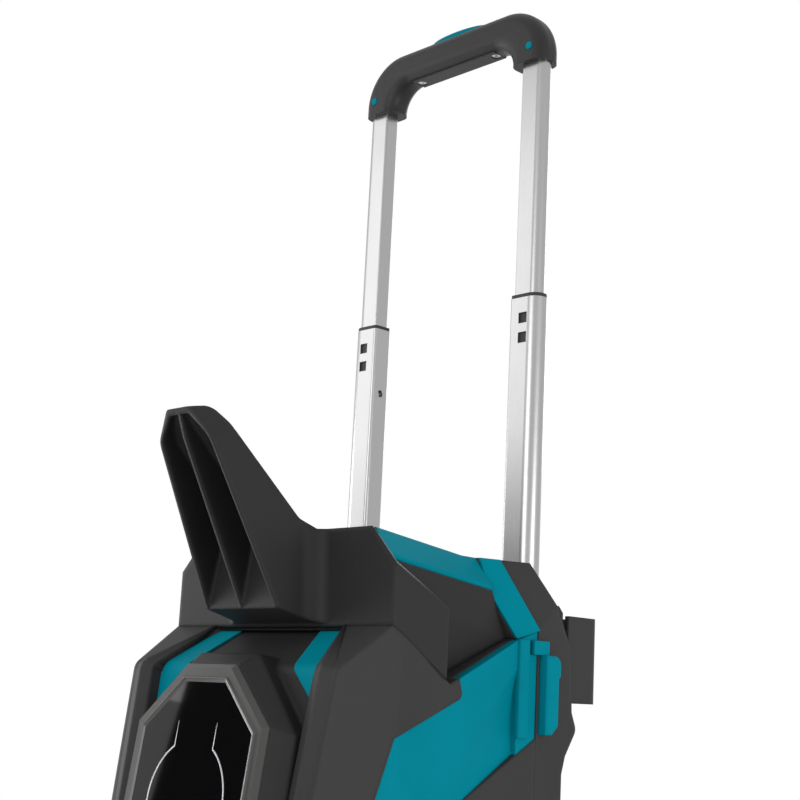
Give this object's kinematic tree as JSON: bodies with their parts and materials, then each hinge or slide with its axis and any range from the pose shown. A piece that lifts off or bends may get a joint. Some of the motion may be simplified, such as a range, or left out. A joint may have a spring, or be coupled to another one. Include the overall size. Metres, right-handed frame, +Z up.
{
  "type": "pressure washer",
  "caption": "Upright wheeled electric pressure washer with an octagonal front panel, a broad hose hook on top and a two-stage telescopic trolley handle.",
  "frame": {"origin": "on the floor, below the middle of the whole machine with its handle drawn out", "axes": "+Z up, -Y out of the front with the control panel, +X to the right as seen from the front"},
  "size_m": [0.3418, 0.38, 1.035],
  "materials": {
    "black_plastic": "fine satin texture",
    "teal_plastic": "satin",
    "panel_gloss": "high gloss",
    "bezel_plastic": "satin",
    "knob_plastic": "satin",
    "grip_plastic": "matt, lightly grained",
    "inner_plastic": "plain moulded",
    "tube_aluminium": "satin anodised",
    "guide_aluminium": "mill finish",
    "cast_aluminium": "as cast",
    "steel": "bright",
    "motor_iron": "laminated",
    "brass": "turned",
    "foot_rubber": "moulded",
    "wheel_plastic": "satin",
    "tyre_rubber": "matt"
  },
  "bodies": {
    "housing": {"side_shell_left": "black_plastic", "side_shell_right": "black_plastic", "front_cover": "black_plastic", "top_cover": "black_plastic", "rear_cover": "black_plastic", "hose_hook": "black_plastic", "lance_holder": "black_plastic", "tube_collars": "black_plastic", "base": "black_plastic", "side_panel_left": "teal_plastic", "side_panel_right": "teal_plastic", "accent_strips": "teal_plastic", "roof_trims": "teal_plastic", "rear_trims": "teal_plastic", "accessory_rails": "teal_plastic", "control_panel": "panel_gloss", "bezel": "bezel_plastic", "switch_box": "inner_plastic", "tube_clamps": "inner_plastic", "guide_tubes": "guide_aluminium", "pump_head": "cast_aluminium", "pump_housing": "cast_aluminium", "motor_housing": "cast_aluminium", "end_cap": "cast_aluminium", "axle": "steel", "axle_clips": "steel", "housing_screws": "steel", "bearings": "steel", "pistons": "steel", "stator": "motor_iron", "water_inlet": "brass", "pressure_outlet": "brass", "bypass_valve": "brass", "foot_pads": "foot_rubber", "motor_dampers": "foot_rubber", "cable_gland": "foot_rubber"},
    "middle": {"mid_tubes": "tube_aluminium", "mid_collars": "inner_plastic", "mid_locks": "inner_plastic"},
    "handle": {"inner_tubes": "tube_aluminium", "inner_locks": "inner_plastic", "grip": "grip_plastic", "grip_plate": "grip_plastic", "grip_pins": "teal_plastic", "grip_screws": "steel"},
    "button": {"release_button": "teal_plastic", "button_carrier": "inner_plastic"},
    "pin_right": {"lock_pin_right": "steel"},
    "pin_left": {"lock_pin_left": "steel"},
    "wheel_right": {"wheel_right": "wheel_plastic", "tyre_right": "tyre_rubber", "hub_cap_right": "black_plastic"},
    "wheel_left": {"wheel_left": "wheel_plastic", "tyre_left": "tyre_rubber", "hub_cap_left": "black_plastic"},
    "knob": {"switch_knob": "knob_plastic"},
    "rotor": {"armature": "motor_iron", "motor_shaft": "steel", "fan": "inner_plastic", "swash_plate": "steel"}
  },
  "joints": [
    {"name": "middle_slide", "type": "slide", "parent": "housing", "child": "middle", "axis": [0, 0, 1], "range_m": [-0.223, 0]},
    {"name": "handle_slide", "type": "slide", "parent": "middle", "child": "handle", "axis": [0, 0, 1], "range_m": [-0.203, 0]},
    {"name": "button_press", "type": "slide", "parent": "handle", "child": "button", "axis": [0, 0, -1], "range_m": [0, 0.0035], "stiffness_N_per_m": 800},
    {"name": "pin_right_draw", "type": "slide", "parent": "handle", "child": "pin_right", "axis": [1, 0, 0], "range_m": [0, 0.0015]},
    {"name": "pin_left_draw", "type": "slide", "parent": "handle", "child": "pin_left", "axis": [-1, 0, 0], "range_m": [0, 0.0015]},
    {"name": "wheel_right_spin", "type": "hinge", "parent": "housing", "child": "wheel_right", "pos_m": [0.1515, 0.098, 0.092], "axis": [1, 0, 0], "continuous": true},
    {"name": "wheel_left_spin", "type": "hinge", "parent": "housing", "child": "wheel_left", "pos_m": [-0.1515, 0.098, 0.092], "axis": [1, 0, 0], "continuous": true},
    {"name": "knob_turn", "type": "hinge", "parent": "housing", "child": "knob", "pos_m": [0, -0.13623, 0.28576], "axis": [0, -0.9907, 0.1362], "range_deg": [0, 90]},
    {"name": "rotor_spin", "type": "hinge", "parent": "housing", "child": "rotor", "pos_m": [0, -0.03, 0.3], "axis": [0, 0, 1], "continuous": true}
  ],
  "couplings": [
    {"joint": "pin_right_draw", "follows": "button_press", "ratio": 0.42857},
    {"joint": "pin_left_draw", "follows": "button_press", "ratio": 0.42857}
  ]
}
